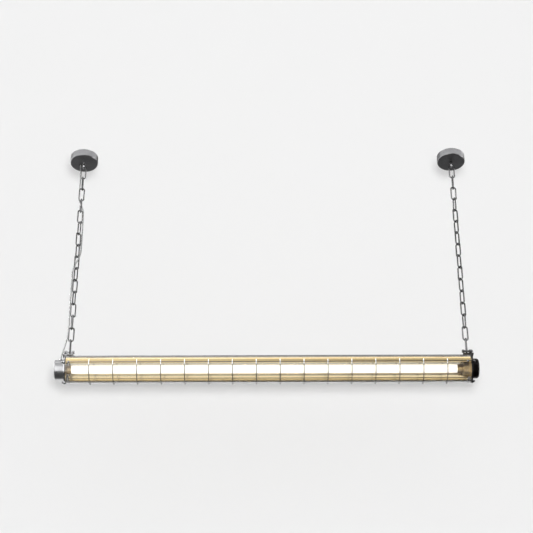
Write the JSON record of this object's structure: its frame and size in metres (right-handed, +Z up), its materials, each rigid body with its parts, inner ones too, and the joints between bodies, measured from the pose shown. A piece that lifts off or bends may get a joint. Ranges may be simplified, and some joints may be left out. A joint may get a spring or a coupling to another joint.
{
  "type": "chain-hung tubular pendant light",
  "caption": "Long tube lamp in a clear glass cylinder with a gold reflector and a half cage of wire hoops, hung level on two chains from round ceiling roses.",
  "frame": {"origin": "on the ceiling, midway between the two roses", "axes": "+Z up into the ceiling, +X along the tube towards the blank end cap, -Y the front"},
  "size_m": [1.298, 0.1006, 0.8703],
  "materials": {
    "rose_nickel": "polished dark nickel plating",
    "chain_nickel": "dark nickel plating, softly worn",
    "fitting_steel": "polished nickel plating",
    "plate_steel": "zinc plated steel",
    "cap_nickel": "polished nickel plating",
    "cap_black": "polished black nickel plating",
    "cage_wire": "nickel plated wire",
    "clear_glass": "clear polished glass",
    "reflector_gold": "gold anodised, polished",
    "holder_gold": "gold metallised",
    "brass_bright": "bright brass",
    "rubber_grey": "matt rubber",
    "terminal_white": "plain moulded plastic",
    "cord_clear": "clear flex over tinned wires",
    "lamp_white": "frosted white, lit",
    "led_white": "white circuit strip"
  },
  "bodies": {
    "ceiling": {"left_rose_cup": "rose_nickel", "right_rose_cup": "rose_nickel", "ceiling_plates": "plate_steel", "plate_nuts": "plate_steel", "eye_hooks": "fitting_steel", "rose_jam_nuts": "fitting_steel", "rose_cord_bush": "rubber_grey", "rose_terminal_block": "terminal_white", "cord_top": "cord_clear"},
    "left_top_link": {"left_top_link": "chain_nickel"},
    "left_chain": {"left_chain_links": "chain_nickel", "cord_run": "cord_clear"},
    "left_bottom_link": {"left_bottom_link": "chain_nickel"},
    "right_top_link": {"right_top_link": "chain_nickel"},
    "right_chain": {"right_chain_links": "chain_nickel"},
    "right_bottom_link": {"right_bottom_link": "chain_nickel"},
    "fixture": {"left_hanger_bracket": "fitting_steel", "right_hanger_bracket": "fitting_steel", "hanger_bolts": "fitting_steel", "hanger_dome_nuts": "fitting_steel", "hanger_screws": "fitting_steel", "left_end_flange": "fitting_steel", "right_end_flange": "fitting_steel", "glass_tube": "clear_glass", "glass_gaskets": "rubber_grey", "tie_rods": "cage_wire", "rod_dome_nuts": "fitting_steel", "rod_ball_collars": "fitting_steel", "cage_hoops": "cage_wire", "reflector": "reflector_gold", "reflector_straps": "reflector_gold", "reflector_rivets": "brass_bright", "left_lampholder": "holder_gold", "right_lampholder": "holder_gold", "holder_lock_ring": "brass_bright", "lampholder_screws": "fitting_steel", "feed_end_cap": "cap_nickel", "feed_cap_set_screws": "fitting_steel", "cable_gland": "fitting_steel", "gland_nut": "fitting_steel", "feed_terminal_block": "terminal_white", "cord_tail": "cord_clear"},
    "blank_cap": {"blank_end_cap": "cap_black"},
    "lamp": {"lampholder_rotors": "terminal_white", "lamp_glass": "lamp_white", "lamp_end_caps": "brass_bright", "lamp_pins": "brass_bright", "lamp_led_strip": "led_white"}
  },
  "joints": [
    {"name": "swing", "type": "hinge", "parent": "ceiling", "child": "left_top_link", "pos_m": [-0.604, 0, -0.03895], "axis": [1, 0, 0], "range_deg": [-20, 20], "deforming": ["cord_top"]},
    {"name": "sway", "type": "hinge", "parent": "left_top_link", "child": "left_chain", "pos_m": [-0.604, 0, -0.08395], "axis": [0, 1, 0], "range_deg": [-15, 15]},
    {"name": "left_counter_sway", "type": "hinge", "parent": "left_chain", "child": "left_bottom_link", "pos_m": [-0.604, 0, -0.71395], "axis": [0, 1, 0], "range_deg": [-15, 15]},
    {"name": "roll", "type": "hinge", "parent": "left_bottom_link", "child": "fixture", "pos_m": [-0.604, 0, -0.7582], "axis": [1, 0, 0], "range_deg": [-25, 25], "deforming": ["cord_tail"]},
    {"name": "right_swing", "type": "hinge", "parent": "ceiling", "child": "right_top_link", "pos_m": [0.604, 0, -0.03895], "axis": [1, 0, 0], "range_deg": [-20, 20]},
    {"name": "right_sway", "type": "hinge", "parent": "right_top_link", "child": "right_chain", "pos_m": [0.604, 0, -0.08395], "axis": [0, 1, 0], "range_deg": [-15, 15]},
    {"name": "right_counter_sway", "type": "hinge", "parent": "right_chain", "child": "right_bottom_link", "pos_m": [0.604, 0, -0.71395], "axis": [0, 1, 0], "range_deg": [-15, 15]},
    {"name": "lamp_twist", "type": "hinge", "parent": "fixture", "child": "lamp", "pos_m": [0, 0, -0.82], "axis": [1, 0, 0], "range_deg": [0, 90]},
    {"name": "blank_cap_off", "type": "slide", "parent": "fixture", "child": "blank_cap", "axis": [1, 0, 0], "range_m": [0, 0.04]}
  ],
  "couplings": [
    {"joint": "left_counter_sway", "follows": "sway", "ratio": -1},
    {"joint": "right_swing", "follows": "swing", "ratio": 1},
    {"joint": "right_sway", "follows": "sway", "ratio": 1},
    {"joint": "right_counter_sway", "follows": "sway", "ratio": -1}
  ]
}
